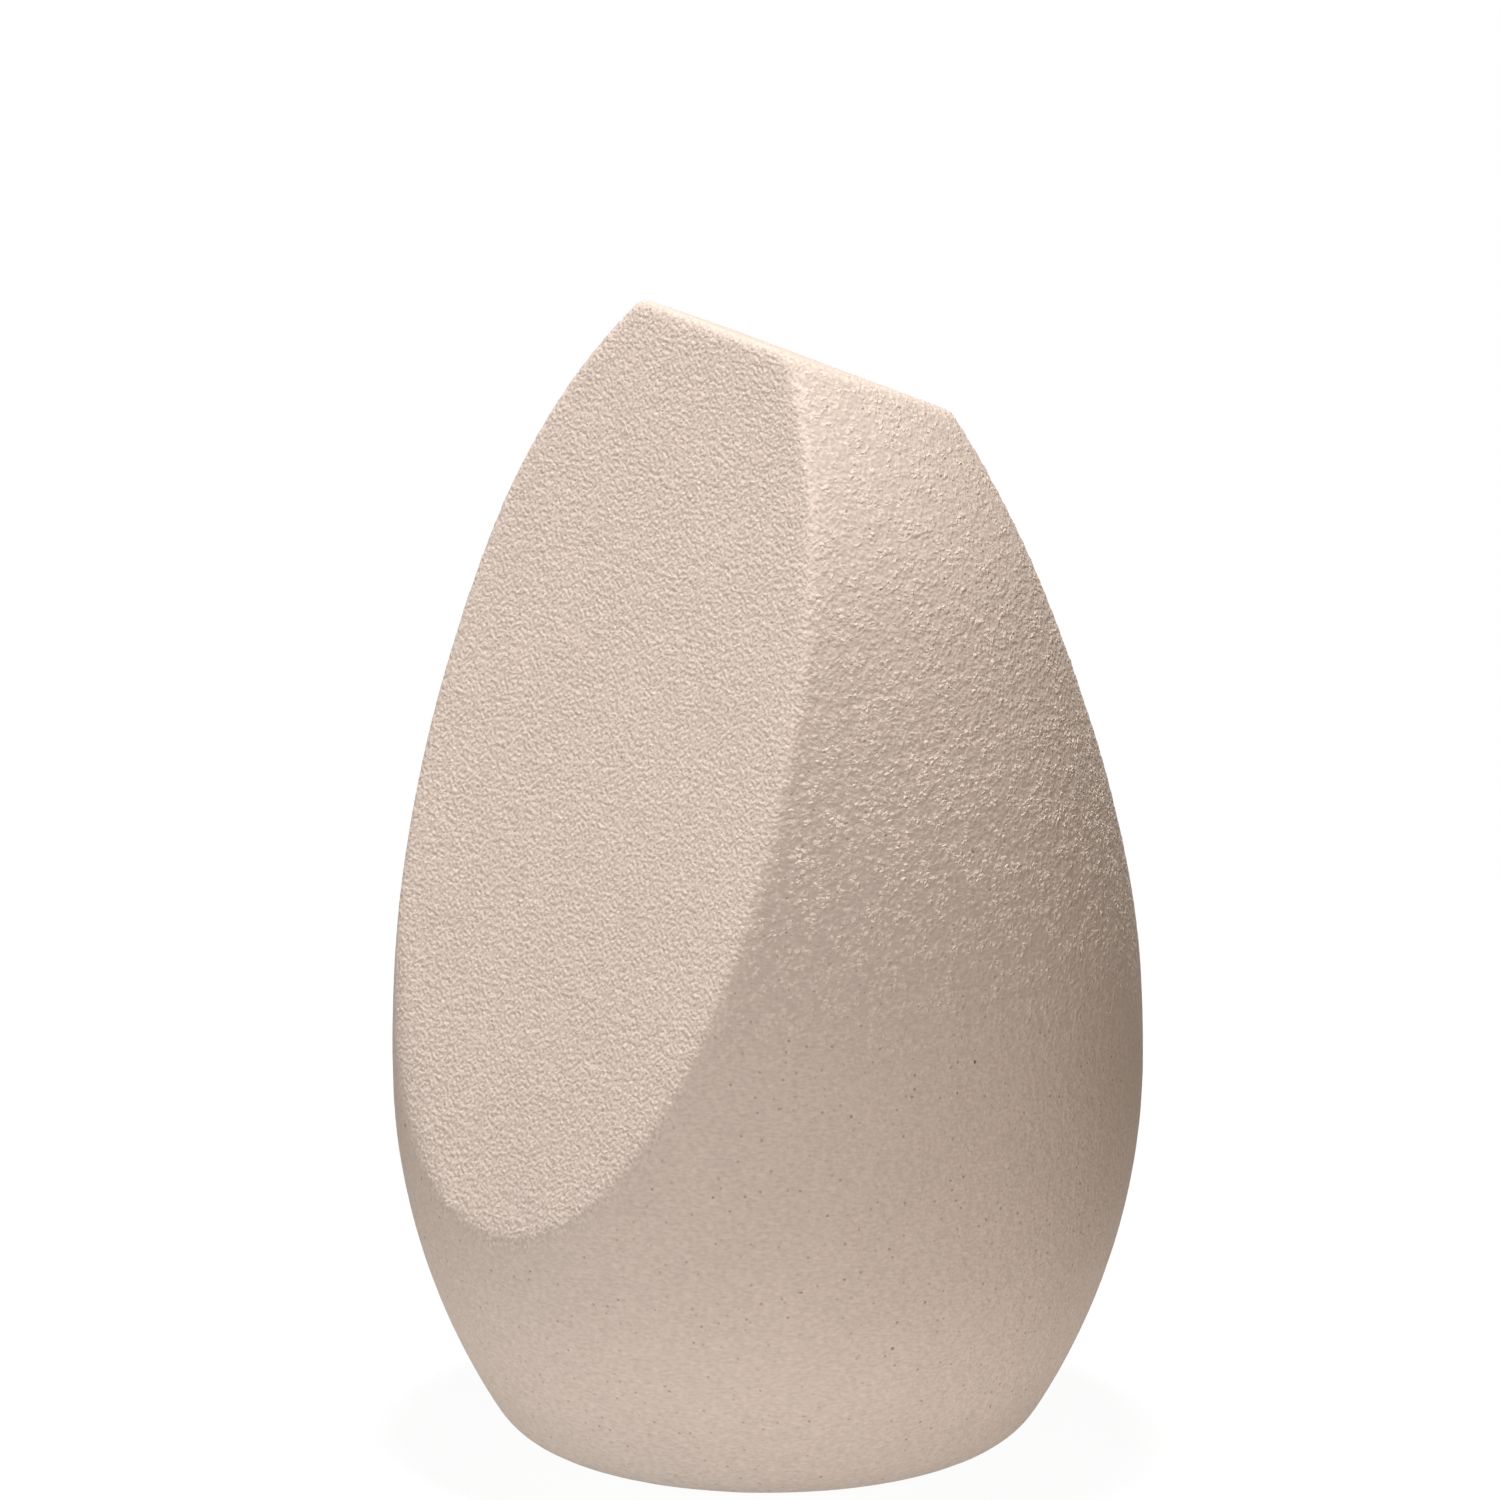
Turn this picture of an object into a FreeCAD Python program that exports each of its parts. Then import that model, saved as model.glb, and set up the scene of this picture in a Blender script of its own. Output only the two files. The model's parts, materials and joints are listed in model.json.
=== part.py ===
import FreeCAD, Part
import math
import os

import Sketcher

# A makeup sponge: one block of fine foam, shaped as an egg that stands on a flat foot.
# Two flat faces, alike and opposite, lean together toward the tip, and a slanted cut ends the tip.
# Lengths are millimetres and angles are degrees. +Z runs up the egg's axis from the foot's centre.
# The front flat faces -Y, the rear flat faces +Y, and the tip cut falls toward the rear.

NODE = "foam_body"

SIZES = {
    # The egg's side, from the foot up to the tip
    "foot_edge_radius": 3.7,
    "lower_side_radius": 35.8,
    "belly_diameter": 40.0,
    "belly_height": 20.8,
    "flank_radius": 87.5,
    "shoulder_height": 48.0,
    # The slanted cut across the tip, by its height on the axis and by how much of the egg it takes off
    "cut_height": 60.3,
    "trimmed_tip": 7.7,
    "cut_slant": 25.0,
    # The two flat faces, by their lean and by the thickness that they leave at the cut
    "flat_lean": 18.3,
    "cut_thickness": 8.7,
    # The soft rounding along the edges of the flat faces and the cut
    "edge_radius": 0.5,
}

# The numbers of an element's points, and of a sketch's own origin and upright axis
START = 1
END = 2
CENTRE = 3
ORIGIN = -1
UPRIGHT = -2

# The corners of a square about the origin, in the order in which an outline is drawn
UNIT_SQUARE = ((-1, -1), (1, -1), (1, 1), (-1, 1))


def make_sheet(doc):
    """Puts each driving dimension in a cell of its own, with its name as the alias."""
    sheet = doc.addObject("Spreadsheet::Sheet", "Sizes")
    for row, (name, value) in enumerate(SIZES.items(), start=1):
        sheet.set(f"A{row}", name)
        sheet.set(f"B{row}", str(value))
        sheet.setAlias(f"B{row}", name)
    doc.recompute()


def origin_plane(body, role):
    """Finds one of the body's own origin planes."""
    return next(feature for feature in body.Origin.OriginFeatures if feature.Role == role)


def sketch_on(body, role, name):
    """Makes an empty sketch on one of the body's origin planes."""
    sketch = body.newObject("Sketcher::SketchObject", name)
    sketch.AttachmentSupport = [(origin_plane(body, role), "")]
    sketch.MapMode = "FlatFace"
    return sketch


def drive(sketch, name, constraint, formula):
    """Adds a named dimension and ties it to a formula of the driving dimensions."""
    sketch.renameConstraint(sketch.addConstraint(constraint), name)
    sketch.setExpression(f"Constraints.{name}", formula)


def arc(x, z, radius, start, end):
    """Makes an arc about a centre, counter-clockwise from one angle to another, in radians."""
    circle = Part.Circle(FreeCAD.Vector(x, z, 0), FreeCAD.Vector(0, 0, 1), radius)
    return Part.ArcOfCircle(circle, start, end)


def draw_half_egg(sketch):
    """Draws half of the egg's section: the foot, four arcs that run smoothly on, and the axis."""
    edge_radius = SIZES["foot_edge_radius"]
    lower_radius = SIZES["lower_side_radius"]
    belly_radius = SIZES["belly_diameter"] / 2
    belly_height = SIZES["belly_height"]
    flank_radius = SIZES["flank_radius"]
    shoulder_height = SIZES["shoulder_height"]
    apex_height = SIZES["cut_height"] + SIZES["trimmed_tip"]

    # Where each arc is centred, and how far round it the next one takes over
    lower_x = belly_radius - lower_radius
    edge_x = lower_x + math.sqrt((lower_radius - edge_radius) ** 2 - (belly_height - edge_radius) ** 2)
    edge_turn = math.atan2(edge_radius - belly_height, edge_x - lower_x)
    flank_x = belly_radius - flank_radius
    shoulder_turn = math.asin((shoulder_height - belly_height) / flank_radius)
    shoulder_x = flank_x + flank_radius * math.cos(shoulder_turn)
    tip_rise = apex_height - shoulder_height
    tip_bend = math.atan2(shoulder_x, tip_rise) - shoulder_turn
    tip_radius = math.hypot(shoulder_x, tip_rise) / (2 * math.sin(tip_bend))
    tip_x = shoulder_x - tip_radius * math.cos(shoulder_turn)
    tip_z = shoulder_height - tip_radius * math.sin(shoulder_turn)
    apex_turn = shoulder_turn + 2 * tip_bend
    apex = FreeCAD.Vector(0, apex_height, 0)
    foot_centre = FreeCAD.Vector(0, 0, 0)

    foot = sketch.addGeometry(Part.LineSegment(foot_centre, FreeCAD.Vector(edge_x, 0, 0)))
    foot_edge = sketch.addGeometry(arc(edge_x, edge_radius, edge_radius, -math.pi / 2, edge_turn))
    lower_side = sketch.addGeometry(arc(lower_x, belly_height, lower_radius, edge_turn, 0))
    flank = sketch.addGeometry(arc(flank_x, belly_height, flank_radius, 0, shoulder_turn))
    tip = sketch.addGeometry(arc(tip_x, tip_z, tip_radius, shoulder_turn, apex_turn))
    axis = sketch.addGeometry(Part.LineSegment(apex, foot_centre))

    sketch.addConstraint(Sketcher.Constraint("Coincident", foot, START, ORIGIN, START))
    sketch.addConstraint(Sketcher.Constraint("Horizontal", foot))
    for below, above in ((foot, foot_edge), (foot_edge, lower_side), (lower_side, flank), (flank, tip)):
        sketch.addConstraint(Sketcher.Constraint("Tangent", below, END, above, START))
    sketch.addConstraint(Sketcher.Constraint("Coincident", tip, END, axis, START))
    sketch.addConstraint(Sketcher.Constraint("Coincident", axis, END, foot, START))
    sketch.addConstraint(Sketcher.Constraint("PointOnObject", tip, END, UPRIGHT))
    sketch.addConstraint(Sketcher.Constraint("Horizontal", lower_side, CENTRE, flank, CENTRE))

    curves = {"foot_edge": foot_edge, "lower_side": lower_side, "flank": flank}
    for name, curve in curves.items():
        radius = Sketcher.Constraint("Radius", curve, SIZES[f"{name}_radius"])
        drive(sketch, f"{name}_radius", radius, f"Sizes.{name}_radius")
    belly = Sketcher.Constraint("DistanceX", ORIGIN, START, lower_side, END, belly_radius)
    drive(sketch, "belly_radius", belly, "Sizes.belly_diameter / 2")
    belly_level = Sketcher.Constraint("DistanceY", ORIGIN, START, lower_side, CENTRE, belly_height)
    drive(sketch, "belly_height", belly_level, "Sizes.belly_height")
    shoulder = Sketcher.Constraint("DistanceY", ORIGIN, START, flank, END, shoulder_height)
    drive(sketch, "shoulder_height", shoulder, "Sizes.shoulder_height")
    apex_level = Sketcher.Constraint("DistanceY", ORIGIN, START, tip, END, apex_height)
    drive(sketch, "apex_height", apex_level, "Sizes.cut_height + Sizes.trimmed_tip")


def revolve(body, sketch, name):
    """Turns a section about the upright axis."""
    feature = body.newObject("PartDesign::Revolution", name)
    feature.Profile = sketch
    feature.ReferenceAxis = (sketch, ["V_Axis"])
    body.Document.recompute()
    return feature


def draw_outline(sketch, corners):
    """Draws a closed outline. It starts as a rough square, and two formulas place each corner."""
    rough_size = SIZES["belly_diameter"]
    points = [FreeCAD.Vector(x * rough_size, z * rough_size, 0) for x, z in UNIT_SQUARE]
    for side, (across, upright) in enumerate(corners):
        start = points[side]
        end = points[(side + 1) % len(points)]
        sketch.addGeometry(Part.LineSegment(start, end))
        place = Sketcher.Constraint("DistanceX", ORIGIN, START, side, START, start.x)
        drive(sketch, f"across_{side}", place, across)
        level = Sketcher.Constraint("DistanceY", ORIGIN, START, side, START, start.y)
        drive(sketch, f"upright_{side}", level, upright)
    for side in range(len(corners)):
        next_side = (side + 1) % len(corners)
        sketch.addConstraint(Sketcher.Constraint("Coincident", side, END, next_side, START))


def cut_away(body, name, corners):
    """Cuts away everything inside an outline in the side view, right through the egg."""
    whole = body.Tip.Shape.Volume
    sketch = sketch_on(body, "YZ_Plane", f"{name}_outline")
    draw_outline(sketch, corners)
    feature = body.newObject("PartDesign::Pocket", name)
    feature.Profile = sketch
    feature.Type = "ThroughAll"
    feature.SideType = "Symmetric"
    body.Document.recompute()
    if feature.Shape.Volume >= whole:
        raise RuntimeError(f"{name} cuts nothing away")
    return feature


def cut_tip(body):
    """Ends the tip with a plane that crosses the axis at the cut's height and falls to the rear."""
    reach = "Sizes.belly_diameter"
    rise = f"{reach} * tan(Sizes.cut_slant)"
    above = f"Sizes.cut_height + {rise} + {reach}"
    corners = [
        (f"-{reach}", f"Sizes.cut_height + {rise}"),
        (reach, f"Sizes.cut_height - {rise}"),
        (reach, above),
        (f"-{reach}", above),
    ]
    return cut_away(body, "tip_cut", corners)


def cut_front_flat(body):
    """Cuts the front flat, which leans in from the foot's level to above the tip."""
    half_gap = "Sizes.cut_thickness / 2"
    lean = "tan(Sizes.flat_lean)"
    above = "Sizes.cut_height + Sizes.cut_thickness"
    outside = f"-({half_gap} + Sizes.cut_height * {lean} + Sizes.belly_diameter)"
    corners = [
        (outside, "0"),
        (f"-({half_gap} + Sizes.cut_height * {lean})", "0"),
        (f"-({half_gap} - Sizes.cut_thickness * {lean})", above),
        (outside, above),
    ]
    return cut_away(body, "front_flat", corners)


def mirror_to_rear(body, feature, name):
    """Repeats a cut on the rear side."""
    mirrored = body.newObject("PartDesign::Mirrored", name)
    mirrored.Originals = [feature]
    mirrored.MirrorPlane = (origin_plane(body, "XZ_Plane"), [""])
    body.Tip = mirrored
    body.Document.recompute()
    return mirrored


def cut_edges(shape):
    """Names the edges around the flat faces and the tip cut, which all lie above the foot's edge."""
    flats = [face for face in shape.Faces if isinstance(face.Surface, Part.Plane)]
    raised = [face for face in flats if face.CenterOfMass.z > SIZES["foot_edge_radius"]]
    edges = [edge for face in raised for edge in face.Edges]
    numbered = enumerate(shape.Edges, start=1)
    return [f"Edge{number}" for number, edge in numbered if any(edge.isSame(other) for other in edges)]


def round_edges(body, base):
    """Rounds the cut edges, as cut foam settles."""
    feature = body.newObject("PartDesign::Fillet", "soft_edges")
    feature.Base = (base, cut_edges(base.Shape))
    feature.setExpression("Radius", "Sizes.edge_radius")
    body.Document.recompute()


def make_foam_body(doc):
    """Makes the whole sponge."""
    body = doc.addObject("PartDesign::Body", NODE)
    body.Label = NODE
    section = sketch_on(body, "XZ_Plane", "half_egg")
    draw_half_egg(section)
    revolve(body, section, "egg")
    cut_tip(body)
    front_flat = cut_front_flat(body)
    rear_flat = mirror_to_rear(body, front_flat, "rear_flat")
    round_edges(body, rear_flat)
    return body


def check(doc, bodies):
    """Stops if any object failed, or any piece isn't one sound solid."""
    for item in doc.Objects:
        if "Invalid" in item.State or "Error" in item.State:
            raise RuntimeError(f"{item.Name} failed: {item.State}")
    for body in bodies:
        if body.Shape.isNull() or not body.Shape.isValid() or len(body.Shape.Solids) != 1:
            raise RuntimeError(f"{body.Label} isn't one sound solid")


def main():
    doc = FreeCAD.newDocument("makeup_sponge")
    make_sheet(doc)
    bodies = [make_foam_body(doc)]
    check(doc, bodies)
    os.makedirs("parts", exist_ok=True)
    for body in bodies:
        body.Shape.exportStep(f"parts/{body.Label}.step")
        box = body.Shape.optimalBoundingBox()
        print(f"{body.Label}: {box.XLength:.2f} x {box.YLength:.2f} x {box.ZLength:.2f} mm")
        print(f"{body.Label}: {body.Shape.Volume:.1f} mm3")


if __name__ == "__main__":
    main()
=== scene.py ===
"""Makeup sponge: an egg of open-cell foam with two flats and a slanted tip, built around the CAD part."""

import json
import math

import bpy
from bpy.props import FloatProperty, FloatVectorProperty, IntProperty, PointerProperty
from mathutils import Matrix, Vector

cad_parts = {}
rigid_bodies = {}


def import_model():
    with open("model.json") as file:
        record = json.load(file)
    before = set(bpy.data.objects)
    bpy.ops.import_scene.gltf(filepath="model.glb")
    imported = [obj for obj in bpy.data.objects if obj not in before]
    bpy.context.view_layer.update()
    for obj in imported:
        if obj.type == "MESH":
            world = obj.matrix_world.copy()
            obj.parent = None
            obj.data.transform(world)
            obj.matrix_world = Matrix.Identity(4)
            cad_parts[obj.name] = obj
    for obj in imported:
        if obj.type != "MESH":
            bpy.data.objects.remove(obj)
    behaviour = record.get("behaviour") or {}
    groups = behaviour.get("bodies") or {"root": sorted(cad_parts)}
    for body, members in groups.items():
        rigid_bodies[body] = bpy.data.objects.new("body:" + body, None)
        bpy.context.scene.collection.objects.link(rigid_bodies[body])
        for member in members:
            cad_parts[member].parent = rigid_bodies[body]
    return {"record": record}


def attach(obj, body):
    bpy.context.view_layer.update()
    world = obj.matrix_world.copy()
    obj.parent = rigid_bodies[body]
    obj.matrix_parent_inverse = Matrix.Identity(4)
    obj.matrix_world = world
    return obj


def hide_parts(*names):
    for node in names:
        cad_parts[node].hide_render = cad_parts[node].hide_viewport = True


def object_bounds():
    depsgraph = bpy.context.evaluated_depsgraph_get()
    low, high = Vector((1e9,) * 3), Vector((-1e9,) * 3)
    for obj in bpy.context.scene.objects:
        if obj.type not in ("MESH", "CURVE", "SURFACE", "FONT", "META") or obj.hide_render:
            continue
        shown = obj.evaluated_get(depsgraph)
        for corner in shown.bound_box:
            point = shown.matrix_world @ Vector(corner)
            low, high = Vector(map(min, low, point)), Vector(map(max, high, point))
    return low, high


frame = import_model()
CAD_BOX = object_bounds()

bl_info = {
    "name": "Makeup Sponge",
    "version": (1, 0, 0),
    "blender": (4, 5, 0),
    "location": "View3D > Sidebar > Sponge",
    "description": "Models a cut egg of fine open-cell foam and its studio",
    "category": "Add Mesh",
}

MM = 0.001
NODE = "foam_body"
PIECE = "foam_sponge"
UP = Vector((0.0, 0.0, 1.0))
ORIGIN = Vector((0.0, 0.0, 0.0))
WHITE = (1.0, 1.0, 1.0)
BELLY_WIDTH = round(CAD_BOX[1].x - CAD_BOX[0].x, 4)

# The record's mounts at which the egg is sliced
FRONT = "front_flat"
REAR = "rear_flat"
TIP = "tip_cut"
CUTS = (FRONT, REAR, TIP)

# How the egg is drawn and sliced
PROFILE_AXIS = (0.0, -1.0, 0.0)
SPIN_SIGN = -1.0
FEWEST_STEPS = 4
MERGE_DISTANCE = 0.002 * MM
CUT_THRESHOLD = 0.00001 * MM

# How far the foam's tip stands above the solid's and leans past it
TIP_LIFT = 0.12 * MM
TIP_SINK = math.radians(1.1)

# Where the rims are rounder: depths below a cut, and where the wear of the front rim starts and is full
TIP_REACH = 1.6 * MM
WORN_REACH = 3.0 * MM
WORN_SIDE = (-4.0 * MM, -11.0 * MM)
WORN_HEIGHT = (27.0 * MM, 19.0 * MM)

# The modelled foam: the strength of one round of smoothing, the layers of its clouds, and a middle level
# at which the clouds only dent it
SMOOTHING = 0.5
SWELL_LAYERS = 1
LUMP_LAYERS = 2
DENTS_ONLY = 1.0

# The foam's zones in mm: depth inside the nearest cut, then heights on the ground sides
GROUND_DEPTH = (0.1, 0.6)
NAP_AND_HIGHLIGHT_HEIGHT = (22.0, 36.0)
UPPER_HEIGHT = (34.0, 48.0)

# Levels on the cuts, on the ground sides, on the band of the sides above the belly and on their upper part
GRAIN_RELIEF = (1.0, 0.3, 0.3, 0.55)
STRUT_RELIEF = (0.2, 0.2, 0.72, 0.5)
LUMP_RELIEF = (0.15, 1.0, 1.0, 1.0)
SPECK_SHARE = (0.3, 1.0, 1.0, 1.0)
# The foam's own random flecks, made much stronger on the cuts and the upper part as painted light and shade
# of the grain
FLECK_AND_RAKING_LIGHT = (2.5, 0.4, 0.4, 2.7)
STREAK_TONE = (0.0, 1.5, 1.5, 1.5)
# Struts painted pale as highlights, with painted shade round them, on the band above the belly and the
# upper part
STRUT_LIGHT_AND_SHADE = (0.0, 0.0, 1.0, 0.55)
# A little painted shade on the upper part's base
BASE_TONE = (0.5, 0.5, 0.5, 0.4)

# The foam's patterns: shares of the sizes in the settings, and levels from a random mask's 0 to its 1
MIDDLE = 0.5
GRAIN_ROUGHNESS = 0.3
GRAIN_DISTORTION = 0.2
FLECK_SIZE = 0.87
STREAK_SIZE = 1.7
STREAK_SQUASH = (1.0, 1.0, 2.4)
DRIFT_SIZE = 4.5
DRIFT_DETAIL = 3.0
DRIFT_TONE = 0.25
PATCH_EDGE = (0.35, 0.65)
PATCH_LEVELS = (0.2, 1.0)
STRUT_BEND = 1.3
STRUT_LEVELS = (0.3, 1.0)
# How pale the struts are painted as highlights, and how far painted shade darkens the foam round them
STRUT_HIGHLIGHT = 2.8
STRUT_SHADE = 0.54
HOLE_CORE = 0.5
SPECK_GAP = 0.29
SPECK_CORE = 0.4
SPECK_RIM = 0.9
SPECK_DEPTH = 0.2
SPECK_LEVELS = (0.15, 0.7)
TONE_SWING = 0.13
ROUGHNESS = 0.9
ROUGHNESS_SWING = 0.12

# Places of a Mix node's sockets when it mixes colours
MIX_SHARE = 0
MIX_FIRST = 6
MIX_SECOND = 7
MIX_RESULT = 2

# Camera and table, where the table's glow rises to a ring round the foot and then fades
CAMERA_DISTANCE = 0.5
NEAR_CLIP = 0.005
FAR_CLIP = 10.0
TABLE_SIDES = 96
TABLE_DROP = 0.01 * MM
TABLE_WHITE = 0.95
GLOW_LEVELS = (0.6, 1.2)
GLOW_RISE = (19.0 * MM, 25.0 * MM)
GLOW_FALL = (28.0 * MM, 38.0 * MM)

# Each lamp: name, turn from the camera and height in degrees, distance, size, share of full light, colour
LAMP_AIM = 30.0 * MM
LAMPS = (
    ("key", 180.0, 84.0, 0.45, 0.08, 1.3, (0.98, 0.99, 1.0)),
    ("front_fill", -10.0, 15.0, 0.7, 0.8, 0.57, (0.85, 0.91, 1.0)),
    ("right_fill", 30.0, 15.0, 0.7, 0.8, 0.44, (1.0, 0.83, 0.66)),
    ("left_fill", -84.0, 2.0, 0.7, 0.8, 0.56, (1.0, 0.91, 0.84)),
    ("rear_fill", 165.0, 2.0, 0.7, 0.5, 0.34, (1.0, 0.93, 0.86)),
)


# Settings

class SpongeShape(bpy.types.PropertyGroup):
    """The egg's outline, and how finely its foam is modelled."""

    belly_width: FloatProperty(
        name="Belly Width", description="Widest place of the egg", default=BELLY_WIDTH, unit="LENGTH")
    belly_height: FloatProperty(
        name="Belly Height", description="Height of the widest place", default=20.8 * MM, unit="LENGTH")
    foot_edge: FloatProperty(
        name="Foot Edge", description="Radius of the edge round the flat foot",
        default=3.7 * MM, unit="LENGTH")
    lower_side: FloatProperty(
        name="Lower Side", description="Radius of the side below the belly",
        default=35.8 * MM, unit="LENGTH")
    flank: FloatProperty(
        name="Flank", description="Radius of the side above the belly", default=87.5 * MM, unit="LENGTH")
    shoulder_height: FloatProperty(
        name="Shoulder Height", description="Where the flank turns in to the tip",
        default=48.0 * MM, unit="LENGTH")
    apex_height: FloatProperty(
        name="Apex Height", description="Height of the egg before its tip is cut",
        default=68.0 * MM, unit="LENGTH")
    turns: IntProperty(
        name="Turns", description="Steps of the spin round the axis", default=256, min=32)
    outline_step: FloatProperty(
        name="Outline Step", description="Length of one step along the outline",
        default=0.5 * MM, unit="LENGTH")
    mesh_size: FloatProperty(
        name="Mesh Size", description="Side of one face of the foam", default=0.32 * MM, unit="LENGTH")
    edge_softness: IntProperty(
        name="Edge Softness", description="Rounds of smoothing that soften the cut edges",
        default=3, min=0)
    tip_softness: IntProperty(
        name="Tip Softness", description="Further rounds of smoothing on the tip's rim",
        default=6, min=0)
    worn_softness: IntProperty(
        name="Worn Softness", description="Further rounds of smoothing on the worn part of the front rim",
        default=150, min=0)
    swell_size: FloatProperty(
        name="Swell Size", description="Width of the foam's wide swells",
        default=2.6 * MM, unit="LENGTH")
    swell_depth: FloatProperty(
        name="Swell Depth", description="Depth of the wide swells",
        default=0.02 * MM, precision=6, unit="LENGTH")
    lump_size: FloatProperty(
        name="Lump Size", description="Width of the foam's small lumps",
        default=0.75 * MM, unit="LENGTH")
    lump_depth: FloatProperty(
        name="Lump Depth", description="Depth of the small lumps",
        default=0.02 * MM, precision=6, unit="LENGTH")


class SpongeFoam(bpy.types.PropertyGroup):
    """The foam's colour and cells."""

    colour: FloatVectorProperty(
        name="Colour", description="Colour of the foam",
        default=(0.655, 0.548, 0.47), subtype="COLOR", size=3)
    # Painted shade in the depths of the pinholes and faint specks
    pit_shade_colour: FloatVectorProperty(
        name="Pit Colour", description="Colour inside the pinholes",
        default=(0.30, 0.215, 0.16), subtype="COLOR", size=3)
    grain_size: FloatProperty(
        name="Grain Size", description="Width of the foam's finest cells",
        default=0.22 * MM, precision=6, unit="LENGTH")
    grain_depth: FloatProperty(
        name="Grain Depth", description="Depth of the finest cells",
        default=0.1 * MM, precision=6, unit="LENGTH")
    strut_gap: FloatProperty(
        name="Strut Gap", description="Distance between struts that stand proud",
        default=0.29 * MM, precision=6, unit="LENGTH")
    strut_radius: FloatProperty(
        name="Strut Radius", description="Radius of a strut's foot",
        default=0.205 * MM, precision=6, unit="LENGTH")
    strut_height: FloatProperty(
        name="Strut Height", description="Height of the tallest struts",
        default=0.135 * MM, precision=6, unit="LENGTH")
    patch_size: FloatProperty(
        name="Patch Size", description="Width of the patches where struts stand thicker",
        default=0.9 * MM, unit="LENGTH")
    lump_size: FloatProperty(
        name="Lump Size", description="Width of the coarser lumps on the ground sides",
        default=0.5 * MM, precision=6, unit="LENGTH")
    lump_depth: FloatProperty(
        name="Lump Depth", description="Height of the coarser lumps",
        default=0.05 * MM, precision=6, unit="LENGTH")
    pinhole_gap: FloatProperty(
        name="Pinhole Gap", description="Distance between open pinholes",
        default=2.2 * MM, unit="LENGTH")
    pinhole_radius: FloatProperty(
        name="Pinhole Radius", description="Largest radius of a pinhole",
        default=0.12 * MM, precision=6, unit="LENGTH")


class SpongeStage(bpy.types.PropertyGroup):
    """The photograph's camera and the round table."""

    camera_azimuth: FloatProperty(
        name="Camera Azimuth", description="Turn of the camera round the axis, from the front flat",
        default=math.radians(50.53), subtype="ANGLE")
    camera_elevation: FloatProperty(
        name="Camera Elevation", description="Height of the camera above the horizon",
        default=math.radians(17.89), subtype="ANGLE")
    frame_width: FloatProperty(
        name="Frame Width", description="Width that the picture takes in",
        default=79.79 * MM, unit="LENGTH")
    aim: FloatVectorProperty(
        name="Aim", description="Point at the middle of the picture",
        default=(-0.590 * MM, -0.716 * MM, 37.706 * MM), subtype="XYZ", size=3)
    floor_radius: FloatProperty(
        name="Floor Radius", description="Radius of the round white table",
        default=90.0 * MM, unit="LENGTH")
    floor_colour: FloatVectorProperty(
        name="Floor Colour", description="Colour of the table top",
        default=(1.0, 0.98, 0.96), subtype="COLOR", size=3)


# Shader expressions

class Signal:
    """A node's output in a Python expression: each operator adds one Math node."""

    def __init__(self, sheet, socket):
        self.sheet = sheet
        self.socket = socket

    def _join(self, operation, first, second):
        made = self.sheet.node("ShaderNodeMath", {"operation": operation}, {0: first, 1: second})
        return Signal(self.sheet, made.outputs[0])

    def __add__(self, other):
        return self._join("ADD", self, other)

    def __radd__(self, other):
        return self._join("ADD", other, self)

    def __sub__(self, other):
        return self._join("SUBTRACT", self, other)

    def __rsub__(self, other):
        return self._join("SUBTRACT", other, self)

    def __mul__(self, other):
        return self._join("MULTIPLY", self, other)

    def at_most(self, other):
        return self._join("MINIMUM", self, other)

    def at_least(self, other):
        return self._join("MAXIMUM", self, other)


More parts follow.
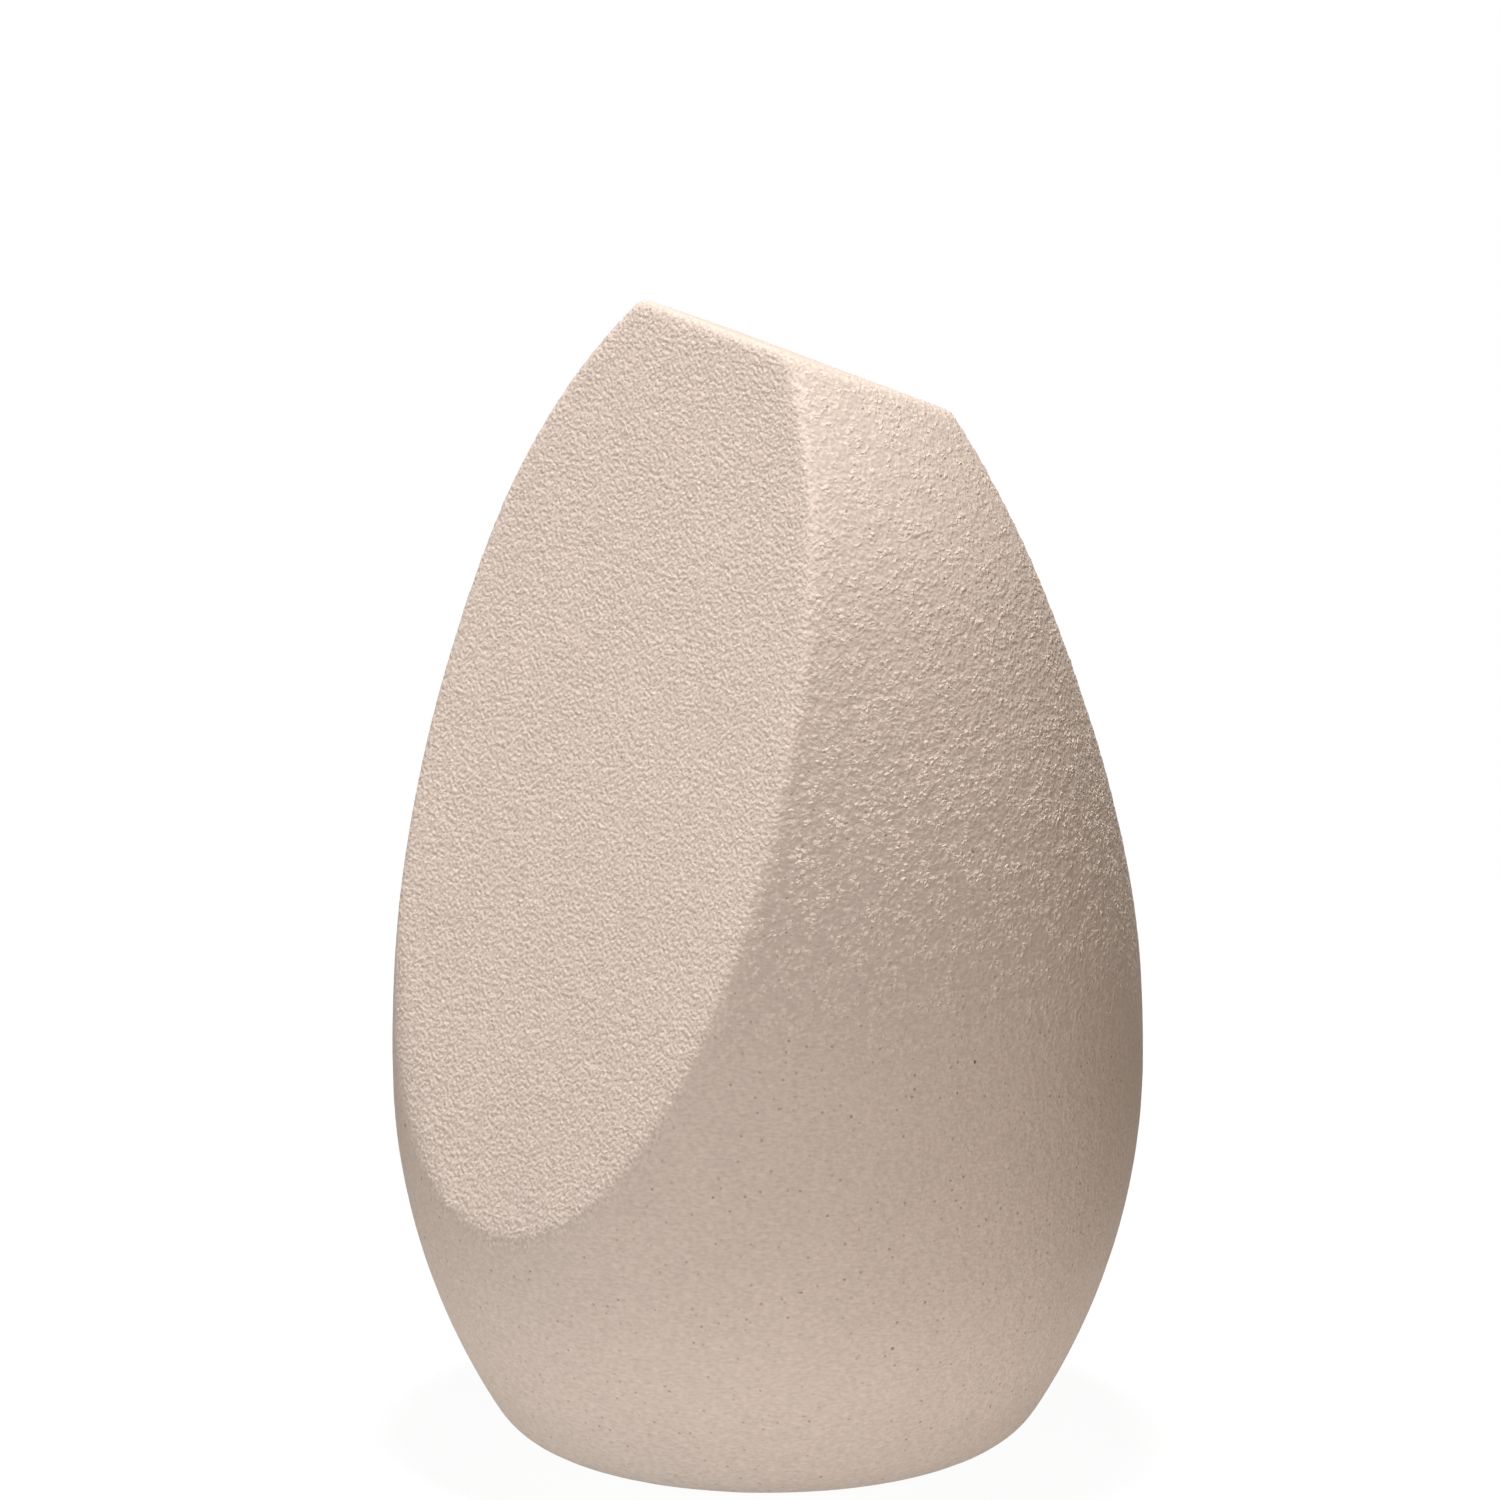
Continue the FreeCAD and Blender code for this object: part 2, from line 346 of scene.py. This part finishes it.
class NodeSheet:
    """One material's or world's node tree, emptied and ready to be drawn."""

    def __init__(self, owner):
        owner.use_nodes = True
        self.tree = owner.node_tree
        self.tree.nodes.clear()

    def node(self, kind, settings=None, sockets=None):
        """Adds a node of a type, makes its settings, then fills or links its sockets, and returns it."""
        made = self.tree.nodes.new(kind)
        for name, value in (settings or {}).items():
            setattr(made, name, value)
        for key, value in (sockets or {}).items():
            self.feed(made.inputs[key], value)
        return made

    def feed(self, socket, value):
        """Gives a socket a number, a colour or a link."""
        if isinstance(value, Signal):
            value = value.socket
        if isinstance(value, bpy.types.NodeSocket):
            self.tree.links.new(value, socket)
        else:
            socket.default_value = value

    def read(self, kind, output, settings=None, sockets=None):
        """Adds a node and returns one of its outputs for use in an expression."""
        return Signal(self, self.node(kind, settings, sockets).outputs[output])

    def ramp(self, value, low, high):
        """0 where value is at or below low, 1 at or above high, and a soft S between them."""
        return self.read(
            "ShaderNodeMapRange", 0, {"interpolation_type": "SMOOTHSTEP", "clamp": True},
            {"Value": value, "From Min": low, "From Max": high})

    def noise(self, place, size, detail=1.0, roughness=0.5, distortion=0.0):
        """Clouds of about a size in mm, from 0 to 1."""
        return self.read(
            "ShaderNodeTexNoise", 0, None,
            {"Vector": place, "Scale": 1.0 / size, "Detail": detail,
             "Roughness": roughness, "Distortion": distortion})

    def warp(self, place, size, reach):
        """Places moved along by clouds of about a size, by up to reach on each axis, in mm."""
        clouds = self.node(
            "ShaderNodeTexNoise", None, {"Vector": place, "Scale": 1.0 / size, "Detail": 0.0})
        return self.read(
            "ShaderNodeVectorMath", 0, {"operation": "MULTIPLY_ADD"},
            {0: clouds.outputs["Color"], 1: (reach, reach, reach), 2: place})

    def dots(self, place, gap, inner, outer):
        """Random dots, 1 within the inner radius and 0 past the outer one, in mm, and a chance for each."""
        grid = self.node(
            "ShaderNodeTexVoronoi", {"feature": "F1"},
            {"Vector": place, "Scale": 1.0 / gap, "Randomness": 1.0})
        distance = Signal(self, grid.outputs["Distance"])
        shape = 1.0 - self.ramp(distance, inner / gap, outer / gap)
        chance = self.read("ShaderNodeSeparateColor", 0, None, {0: grid.outputs["Color"]})
        return shape, chance

    def seen(self):
        """1 for what the camera sees, also in a gloss or through glass, and 0 for light on the foam."""
        path = self.node("ShaderNodeLightPath")
        total = Signal(self, path.outputs["Is Camera Ray"])
        for name in ("Is Glossy Ray", "Is Transmission Ray"):
            total = total.at_least(Signal(self, path.outputs[name]))
        return total

    def mix(self, share, first, second):
        """A colour between two colours."""
        return self.read(
            "ShaderNodeMix", MIX_RESULT, {"data_type": "RGBA"},
            {MIX_SHARE: share, MIX_FIRST: first, MIX_SECOND: second})


def layered(masks, levels):
    """The first level, which goes over to the next one where each mask in turn is full."""
    total = levels[0]
    for mask, before, after in zip(masks, levels, levels[1:]):
        if after != before:
            total = total + mask * (after - before)
    return total


def opaque(colour):
    """A colour with full alpha."""
    return (*colour, 1.0)


def cut_plane(name):
    """A point and the outward direction of one of the cuts. The foam's tip sinks a little at the back."""
    mount = next(mount for mount in frame["record"]["mounts"] if mount["name"] == name)
    point = Vector(mount["pos_m"])
    axis = Vector(mount["axis"])
    if name == TIP:
        point = point + axis * TIP_LIFT
        axis = Matrix.Rotation(-TIP_SINK, 3, "X") @ axis
    return point, axis


def depth_inside(sheet, in_mm, name):
    """How far a point lies inside one of the cuts, in mm."""
    point, axis = cut_plane(name)
    reach = axis.dot(point) / MM
    height = sheet.read(
        "ShaderNodeVectorMath", "Value", {"operation": "DOT_PRODUCT"}, {0: in_mm, 1: axis})
    return reach - height


def foam_zones(sheet, in_mm):
    """Masks of the ground sides, of the band above the belly where struts stand proud and carry painted
    highlights, and of their upper part.
    """
    nearest_cut = depth_inside(sheet, in_mm, FRONT)
    for name in (REAR, TIP):
        nearest_cut = nearest_cut.at_most(depth_inside(sheet, in_mm, name))
    ground_side = sheet.ramp(nearest_cut, *GROUND_DEPTH)
    height = sheet.read("ShaderNodeSeparateXYZ", 2, None, {0: in_mm})
    nap_and_highlight = ground_side * sheet.ramp(height, *NAP_AND_HIGHLIGHT_HEIGHT)
    upper = ground_side * sheet.ramp(height, *UPPER_HEIGHT)
    return ground_side, nap_and_highlight, upper


def foam_material(foam):
    """Matte foam: cells and struts as relief, paler and darker flecks, struts painted pale as highlights
    with painted shade round them, and open pinholes filled with painted shade.
    """
    material = bpy.data.materials.new("foam")
    material.cycles.use_bump_map_correction = False
    sheet = NodeSheet(material)
    place = sheet.node("ShaderNodeTexCoord").outputs["Object"]
    in_mm = sheet.read(
        "ShaderNodeVectorMath", 0, {"operation": "SCALE"}, {0: place, "Scale": 1.0 / MM})
    zones = foam_zones(sheet, in_mm)
    ground_side = zones[0]

    cell = foam.grain_size / MM
    grain = sheet.noise(in_mm, cell, roughness=GRAIN_ROUGHNESS, distortion=GRAIN_DISTORTION)
    fleck = sheet.noise(in_mm, cell * FLECK_SIZE, roughness=GRAIN_ROUGHNESS)
    flattened = sheet.read(
        "ShaderNodeVectorMath", 0, {"operation": "MULTIPLY"}, {0: in_mm, 1: STREAK_SQUASH})
    streaks = sheet.noise(flattened, cell * STREAK_SIZE)
    drift = sheet.noise(in_mm, DRIFT_SIZE, detail=DRIFT_DETAIL)
    lumps = sheet.noise(in_mm, foam.lump_size / MM)
    swells = sheet.noise(in_mm, foam.patch_size / MM)
    patches = sheet.ramp(swells, *PATCH_EDGE)

    strut = foam.strut_radius / MM
    bent = sheet.warp(in_mm, strut, strut * STRUT_BEND)
    struts, tallness = sheet.dots(bent, foam.strut_gap / MM, 0.0, strut)
    struts = struts * layered((tallness,), STRUT_LEVELS) * layered((patches,), PATCH_LEVELS)

    hole = foam.pinhole_radius / MM
    hole_gap = foam.pinhole_gap / MM
    holes, chance = sheet.dots(in_mm, hole_gap, hole * HOLE_CORE, hole)
    holes = holes * chance * chance * ground_side
    specks, darkness = sheet.dots(in_mm, hole_gap * SPECK_GAP, hole * SPECK_CORE, hole * SPECK_RIM)

    relief = grain * layered(zones, GRAIN_RELIEF) * foam.grain_depth
    relief = relief + struts * layered(zones, STRUT_RELIEF) * foam.strut_height
    relief = relief + (lumps + swells) * layered(zones, LUMP_RELIEF) * foam.lump_depth
    relief = relief - holes * foam.pinhole_radius
    relief = relief - specks * (SPECK_DEPTH * foam.pinhole_radius)
    bump = sheet.node("ShaderNodeBump", None, {"Height": relief, "Strength": 1.0, "Distance": 1.0})

    tone = layered(zones, BASE_TONE)
    # The foam's own flecks, with painted light and shade of the grain added on the cuts and the upper part
    tone = tone + (fleck - MIDDLE) * layered(zones, FLECK_AND_RAKING_LIGHT)
    tone = tone + (streaks - MIDDLE) * layered(zones, STREAK_TONE)
    tone = tone + (drift - MIDDLE) * DRIFT_TONE
    # Painted highlights on the struts and painted shade round them
    tone = tone + (struts * STRUT_HIGHLIGHT - STRUT_SHADE) * layered(zones, STRUT_LIGHT_AND_SHADE)
    pale = tuple(min(1.0, part * (1.0 + TONE_SWING)) for part in foam.colour)
    deep = tuple(part * (1.0 - TONE_SWING) for part in foam.colour)
    body = sheet.mix(tone, opaque(deep), opaque(pale))
    # Painted shade in the pinholes and faint specks
    shaded_specks = specks * layered((darkness,), SPECK_LEVELS) * layered(zones, SPECK_SHARE)
    shaded_pits = (holes + shaded_specks).at_most(1.0)
    colour = sheet.mix(shaded_pits, body, opaque(foam.pit_shade_colour))
    rough = (grain - MIDDLE) * ROUGHNESS_SWING + ROUGHNESS

    surface = sheet.node(
        "ShaderNodeBsdfPrincipled", None,
        {"Base Color": colour, "Roughness": rough, "Normal": bump.outputs[0],
         "Specular IOR Level": 0.06, "Sheen Weight": 0.06, "Sheen Roughness": 0.6})
    sheet.node("ShaderNodeOutputMaterial", None, {"Surface": surface.outputs[0]})
    return material


# Modelling helpers

def deselect():
    """Leaves nothing selected, whatever the frame or the last piece left."""
    bpy.ops.object.select_all(action="DESELECT")


def apply_modifier(piece, kind, name, **settings):
    """Adds a modifier, makes its settings and applies it."""
    modifier = piece.modifiers.new(name, kind)
    for key, value in settings.items():
        setattr(modifier, key, value)
    bpy.ops.object.modifier_apply(modifier=name)


def egg_arcs(shape):
    """The half outline in X and Z: the foot's flat, then each arc's centre, radius and turn."""
    belly = shape.belly_width / 2.0
    lower = (belly - shape.lower_side, shape.belly_height)
    rise = shape.foot_edge - lower[1]
    reach = math.sqrt((shape.lower_side - shape.foot_edge) ** 2 - rise ** 2)
    foot = (lower[0] + reach, shape.foot_edge)
    lower_start = math.atan2(rise, reach)
    flank = (belly - shape.flank, shape.belly_height)
    flank_end = math.asin((shape.shoulder_height - shape.belly_height) / shape.flank)
    shoulder = (flank[0] + shape.flank * math.cos(flank_end), shape.shoulder_height)
    drop = shoulder[1] - shape.apex_height
    outward = (math.cos(flank_end), math.sin(flank_end))
    chord = shoulder[0] ** 2 + drop ** 2
    tip_radius = chord / (2.0 * (shoulder[0] * outward[0] + drop * outward[1]))
    tip = (shoulder[0] - tip_radius * outward[0], shoulder[1] - tip_radius * outward[1])
    tip_end = math.atan2(shape.apex_height - tip[1], -tip[0])
    arcs = [
        (foot, shape.foot_edge, math.pi / 2.0 + lower_start),
        (lower, shape.lower_side, -lower_start),
        (flank, shape.flank, flank_end),
        (tip, tip_radius, tip_end - flank_end),
    ]
    return foot[0], arcs


def spin_egg(shape):
    """Draws the half outline by spinning a point round each arc's centre, then spins it round the axis."""
    bpy.ops.mesh.primitive_plane_add(size=shape.belly_width)
    piece = bpy.context.object
    bpy.ops.object.mode_set(mode="EDIT")
    bpy.ops.mesh.select_all(action="SELECT")
    bpy.ops.mesh.merge(type="CENTER")
    foot_flat, arcs = egg_arcs(shape)
    bpy.ops.mesh.extrude_region_move(TRANSFORM_OT_translate={"value": (foot_flat, 0.0, 0.0)})
    for centre, radius, turn in arcs:
        steps = max(FEWEST_STEPS, round(radius * turn / shape.outline_step))
        bpy.ops.mesh.spin(
            steps=steps, angle=SPIN_SIGN * turn, center=(centre[0], 0.0, centre[1]), axis=PROFILE_AXIS)
    bpy.ops.mesh.select_all(action="SELECT")
    bpy.ops.mesh.spin(
        steps=shape.turns, angle=math.tau, center=ORIGIN, axis=UP, use_auto_merge=True)
    bpy.ops.mesh.select_all(action="SELECT")
    bpy.ops.mesh.remove_doubles(threshold=MERGE_DISTANCE)
    bpy.ops.mesh.normals_make_consistent(inside=False)
    bpy.ops.object.mode_set(mode="OBJECT")
    return piece


def cut_flats():
    """Slices the egg at the flats and the tip, on the record's mounts, and closes each cut."""
    bpy.ops.object.mode_set(mode="EDIT")
    for name in CUTS:
        point, axis = cut_plane(name)
        bpy.ops.mesh.select_all(action="SELECT")
        bpy.ops.mesh.bisect(
            plane_co=point, plane_no=axis, use_fill=True, clear_outer=True, threshold=CUT_THRESHOLD)
    bpy.ops.mesh.select_all(action="SELECT")
    bpy.ops.mesh.normals_make_consistent(inside=False)
    bpy.ops.object.mode_set(mode="OBJECT")


def share_between(value, start, end):
    """0 at start, 1 at end, and in proportion between them."""
    return min(1.0, max(0.0, (value - start) / (end - start)))


def group_where(piece, name, weigh):
    """Groups the vertices that a rule gives a weight, and returns the group's name."""
    group = piece.vertex_groups.new(name=name)
    for vertex in piece.data.vertices:
        weight = weigh(vertex.co)
        if weight > 0.0:
            group.add([vertex.index], weight, "REPLACE")
    return group.name


def tip_rim(place):
    """Full on the tip's cut and none a little way below it."""
    point, axis = cut_plane(TIP)
    return share_between(axis.dot(place - point), -TIP_REACH, 0.0)


def worn_rim(place):
    """Full at the lower left of the front flat's rim, where the foam is rubbed round."""
    point, axis = cut_plane(FRONT)
    if axis.dot(place - point) < -WORN_REACH:
        return 0.0
    return share_between(place.x, *WORN_SIDE) * share_between(place.z, *WORN_HEIGHT)


def noise_texture(name, size, layers):
    """A cloud pattern for a Displace modifier."""
    texture = bpy.data.textures.new(name, "CLOUDS")
    texture.noise_basis = "IMPROVED_PERLIN"
    texture.noise_scale = size
    texture.noise_depth = layers
    return texture


def bearing(azimuth, elevation):
    """The direction from the object to a camera or lamp."""
    flat = math.cos(elevation)
    return Vector((math.sin(azimuth) * flat, -math.cos(azimuth) * flat, math.sin(elevation)))


def aim_angles(direction):
    """The turn that makes a camera or lamp at that direction look back."""
    return (-direction).to_track_quat("-Z", "Y").to_euler()


# Operators

class SPONGE_OT_foam_body(bpy.types.Operator):
    """Models the sponge: a spun egg, sliced at its flats and tip, with softened edges and uneven foam."""

    bl_idname = "sponge.foam_body"
    bl_label = "Foam Body"

    def execute(self, context):
        shape = context.scene.sponge_shape
        deselect()
        piece = spin_egg(shape)
        piece.name = PIECE
        piece.data.name = PIECE
        cut_flats()
        apply_modifier(piece, "REMESH", "Even Faces", mode="VOXEL", voxel_size=shape.mesh_size)
        apply_modifier(
            piece, "SMOOTH", "Soft Edges", factor=SMOOTHING, iterations=shape.edge_softness)
        for name, weigh, rounds in (
                ("Soft Tip", tip_rim, shape.tip_softness), ("Worn Rim", worn_rim, shape.worn_softness)):
            group = group_where(piece, name, weigh)
            apply_modifier(
                piece, "SMOOTH", name, factor=SMOOTHING, iterations=rounds, vertex_group=group)
        swells = noise_texture("foam_swells", shape.swell_size, SWELL_LAYERS)
        lumps = noise_texture("foam_lumps", shape.lump_size, LUMP_LAYERS)
        for name, texture, depth in (
                ("Swells", swells, shape.swell_depth), ("Lumps", lumps, shape.lump_depth)):
            apply_modifier(
                piece, "DISPLACE", name, texture=texture, texture_coords="LOCAL", direction="NORMAL",
                mid_level=DENTS_ONLY, strength=depth)
        bpy.ops.object.shade_smooth()
        faces = len(piece.data.polygons)
        if faces == 0:
            raise RuntimeError("the foam body came out empty")
        print("foam body:", faces, "faces")
        piece.data.materials.clear()
        piece.data.materials.append(foam_material(context.scene.sponge_foam))
        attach(piece, "root")
        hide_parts(NODE)
        return {"FINISHED"}


class SPONGE_OT_stage(bpy.types.Operator):
    """Sets up the photograph's camera, the round white table and the studio lamps."""

    bl_idname = "sponge.stage"
    bl_label = "Stage"

    def execute(self, context):
        stage = context.scene.sponge_stage
        scene = context.scene
        scene.view_settings.view_transform = "Standard"
        self.camera(scene, stage)
        self.table(stage)
        self.lamps(stage)
        self.world(scene)
        return {"FINISHED"}

    def camera(self, scene, stage):
        """An orthographic camera, because the photograph shows no perspective that can be measured."""
        aim = Vector(stage.aim)
        direction = bearing(stage.camera_azimuth, stage.camera_elevation)
        bpy.ops.object.camera_add(
            location=aim + direction * CAMERA_DISTANCE, rotation=aim_angles(direction))
        camera = bpy.context.object
        camera.name = "camera"
        camera.data.type = "ORTHO"
        camera.data.ortho_scale = stage.frame_width
        camera.data.clip_start = NEAR_CLIP
        camera.data.clip_end = FAR_CLIP
        scene.camera = camera

    def table(self, stage):
        """A round table, white to the camera with a faint shadow, that lights the foam from below."""
        deselect()
        bpy.ops.mesh.primitive_circle_add(
            vertices=TABLE_SIDES, radius=stage.floor_radius, fill_type="NGON",
            location=UP * -TABLE_DROP)
        floor = bpy.context.object
        floor.name = "table"
        bpy.ops.object.transform_apply(location=True, rotation=True, scale=True)
        floor.data.materials.append(self.table_material(stage))

    def table_material(self, stage):
        """White with a little of the matte table for the camera, and a soft ring of light for the foam."""
        material = bpy.data.materials.new("table_top")
        sheet = NodeSheet(material)
        seen = sheet.seen()
        place = sheet.node("ShaderNodeTexCoord").outputs["Object"]
        reach = sheet.read("ShaderNodeVectorMath", "Value", {"operation": "LENGTH"}, {0: place})
        glow = layered((sheet.ramp(reach, *GLOW_RISE),), GLOW_LEVELS)
        glow = glow * (1.0 - sheet.ramp(reach, *GLOW_FALL))
        top = opaque(stage.floor_colour)
        matte = sheet.node("ShaderNodeBsdfDiffuse", None, {"Color": top})
        white = sheet.node("ShaderNodeEmission", None, {"Color": opaque(WHITE), "Strength": 1.0})
        lit = sheet.node("ShaderNodeEmission", None, {"Color": top, "Strength": glow})
        shown = sheet.node(
            "ShaderNodeMixShader", None, {0: TABLE_WHITE, 1: matte.outputs[0], 2: white.outputs[0]})
        both = sheet.node(
            "ShaderNodeMixShader", None, {0: seen, 1: lit.outputs[0], 2: shown.outputs[0]})
        sheet.node("ShaderNodeOutputMaterial", None, {"Surface": both.outputs[0]})
        return material

    def lamps(self, stage):
        """A small lamp high behind the sponge, which rakes its sides, and wide weak ones round it."""
        target = UP * LAMP_AIM
        for name, turn, height, distance, size, share, colour in LAMPS:
            direction = bearing(stage.camera_azimuth + math.radians(turn), math.radians(height))
            bpy.ops.object.light_add(
                type="AREA", location=target + direction * distance, rotation=aim_angles(direction))
            lamp = bpy.context.object
            lamp.name = name
            lamp.data.shape = "DISK"
            lamp.data.size = size
            lamp.data.color = colour
            # Full light makes a white surface that faces the lamp come out white
            lamp.data.energy = share * (math.pi * distance) ** 2
            lamp.visible_camera = False

    def world(self, scene):
        """White where the camera sees it, and dark for all else."""
        world = bpy.data.worlds.new("studio")
        scene.world = world
        sheet = NodeSheet(world)
        light = sheet.node(
            "ShaderNodeBackground", None, {"Color": opaque(WHITE), "Strength": sheet.seen()})
        sheet.node("ShaderNodeOutputWorld", None, {"Surface": light.outputs[0]})


# Panel and registration

class SPONGE_PT_panel(bpy.types.Panel):
    """Lists the sponge's settings and steps."""

    bl_idname = "SPONGE_PT_panel"
    bl_label = "Makeup Sponge"
    bl_space_type = "VIEW_3D"
    bl_region_type = "UI"
    bl_category = "Sponge"

    def draw(self, context):
        for owner in ("sponge_shape", "sponge_foam", "sponge_stage"):
            settings = getattr(context.scene, owner)
            column = self.layout.column()
            for name in settings.__annotations__:
                column.prop(settings, name)
        self.layout.operator(SPONGE_OT_foam_body.bl_idname)
        self.layout.operator(SPONGE_OT_stage.bl_idname)


CLASSES = (SpongeShape, SpongeFoam, SpongeStage, SPONGE_OT_foam_body, SPONGE_OT_stage, SPONGE_PT_panel)


def register():
    for owner in CLASSES:
        bpy.utils.register_class(owner)
    bpy.types.Scene.sponge_shape = PointerProperty(type=SpongeShape)
    bpy.types.Scene.sponge_foam = PointerProperty(type=SpongeFoam)
    bpy.types.Scene.sponge_stage = PointerProperty(type=SpongeStage)


def unregister():
    del bpy.types.Scene.sponge_stage
    del bpy.types.Scene.sponge_foam
    del bpy.types.Scene.sponge_shape
    for owner in reversed(CLASSES):
        bpy.utils.unregister_class(owner)


def main():
    register()
    bpy.ops.sponge.foam_body()
    bpy.ops.sponge.stage()


if __name__ == "__main__":
    main()
